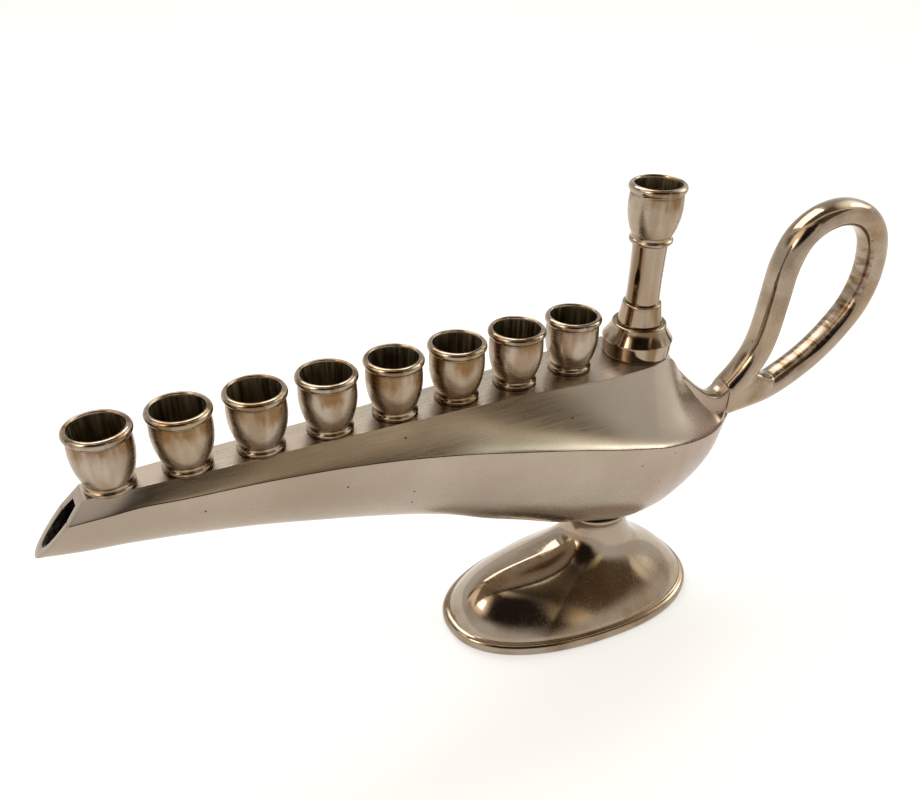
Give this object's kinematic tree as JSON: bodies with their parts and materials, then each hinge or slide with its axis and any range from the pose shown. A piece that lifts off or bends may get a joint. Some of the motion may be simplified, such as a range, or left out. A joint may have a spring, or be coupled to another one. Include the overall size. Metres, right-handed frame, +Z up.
{
  "type": "menorah",
  "caption": "Hanukkah lamp shaped like an antique oil lamp: a row of candle cups on a boat-shaped body with a raised servant light, an oval foot and a looped handle.",
  "frame": {"origin": "centre of the overall box at table height, on the lamp's plane of symmetry", "axes": "+Z up, +X from the spout towards the handle, +Y across the body"},
  "size_m": [0.3049, 0.0608, 0.1569],
  "materials": {
    "satin_casting": "cast brass, nickel plated and satin brushed, with small casting pits",
    "polished_casting": "cast brass, nickel plated and polished, with fine file and buffing lines",
    "turned_plate": "turned brass, nickel plated, satin belly and bright rims, warm tarnish in the grooves",
    "fastener_steel": "plain zinc-plated steel screw"
  },
  "bodies": {
    "root": {"hull": "satin_casting", "deck": "satin_casting", "foot": "polished_casting", "handle": "polished_casting", "candle_cup_1": "turned_plate", "cup_screw_1": "fastener_steel", "candle_cup_2": "turned_plate", "cup_screw_2": "fastener_steel", "candle_cup_3": "turned_plate", "cup_screw_3": "fastener_steel", "candle_cup_4": "turned_plate", "cup_screw_4": "fastener_steel", "candle_cup_5": "turned_plate", "cup_screw_5": "fastener_steel", "candle_cup_6": "turned_plate", "cup_screw_6": "fastener_steel", "candle_cup_7": "turned_plate", "cup_screw_7": "fastener_steel", "candle_cup_8": "turned_plate", "cup_screw_8": "fastener_steel", "shamash_base": "turned_plate", "shamash_collar": "turned_plate", "shamash_stem": "turned_plate", "shamash_cup": "turned_plate", "shamash_bolt": "fastener_steel", "shamash_washer": "fastener_steel", "shamash_nut": "fastener_steel", "foot_bolt": "fastener_steel", "foot_washer": "fastener_steel", "foot_nut": "fastener_steel", "handle_screw": "fastener_steel", "handle_washer": "fastener_steel"}
  },
  "joints": []
}
